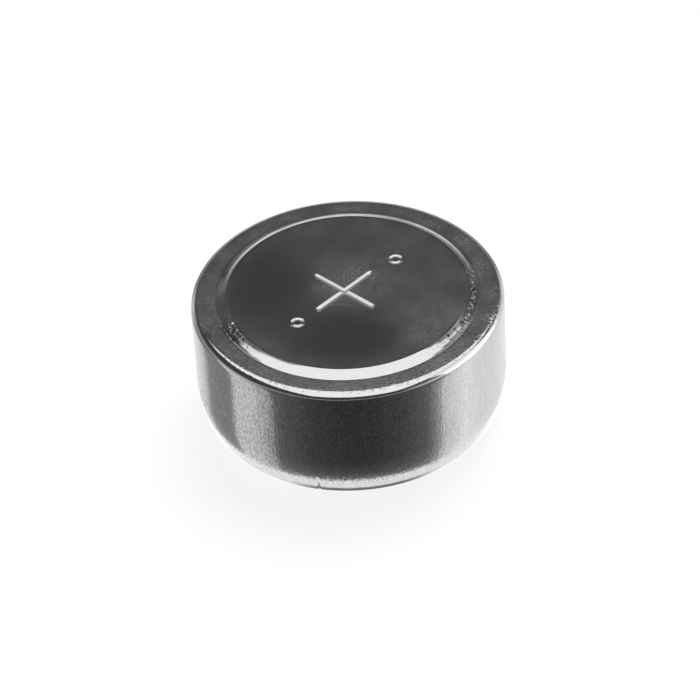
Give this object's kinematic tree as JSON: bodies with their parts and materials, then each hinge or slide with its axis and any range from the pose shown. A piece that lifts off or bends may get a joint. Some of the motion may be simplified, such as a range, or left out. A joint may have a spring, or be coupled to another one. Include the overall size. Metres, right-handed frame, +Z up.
{
  "type": "button cell battery",
  "caption": "Round button cell: crimped nickel-plated can with a raised, plus-marked contact face, sealed over a flat negative cap, to power small electronics.",
  "frame": {"origin": "centre of the negative cap's flat contact face, on which the cell stands", "axes": "+Z up along the cell's axis, from the negative cap to the positive contact plateau; +Y away from the viewer of the picture"},
  "size_m": [0.0116, 0.0116, 0.0054],
  "materials": {
    "nickel_plate": "bright nickel plate over drawn steel, worn along its edges",
    "gasket_nylon": "moulded natural nylon",
    "cap_plate": "satin nickel plate over drawn steel",
    "pellet_mix": "pressed manganese dioxide and graphite",
    "separator_paper": "cellulose film",
    "absorbent_fibre": "felted fibre",
    "zinc_paste": "grey zinc paste"
  },
  "bodies": {
    "root": {"positive_can": "nickel_plate", "sealing_gasket": "gasket_nylon", "negative_cap": "cap_plate", "cathode_pellet": "pellet_mix", "separator_film": "separator_paper", "absorbent_disc": "absorbent_fibre", "anode_gel": "zinc_paste"}
  },
  "joints": []
}
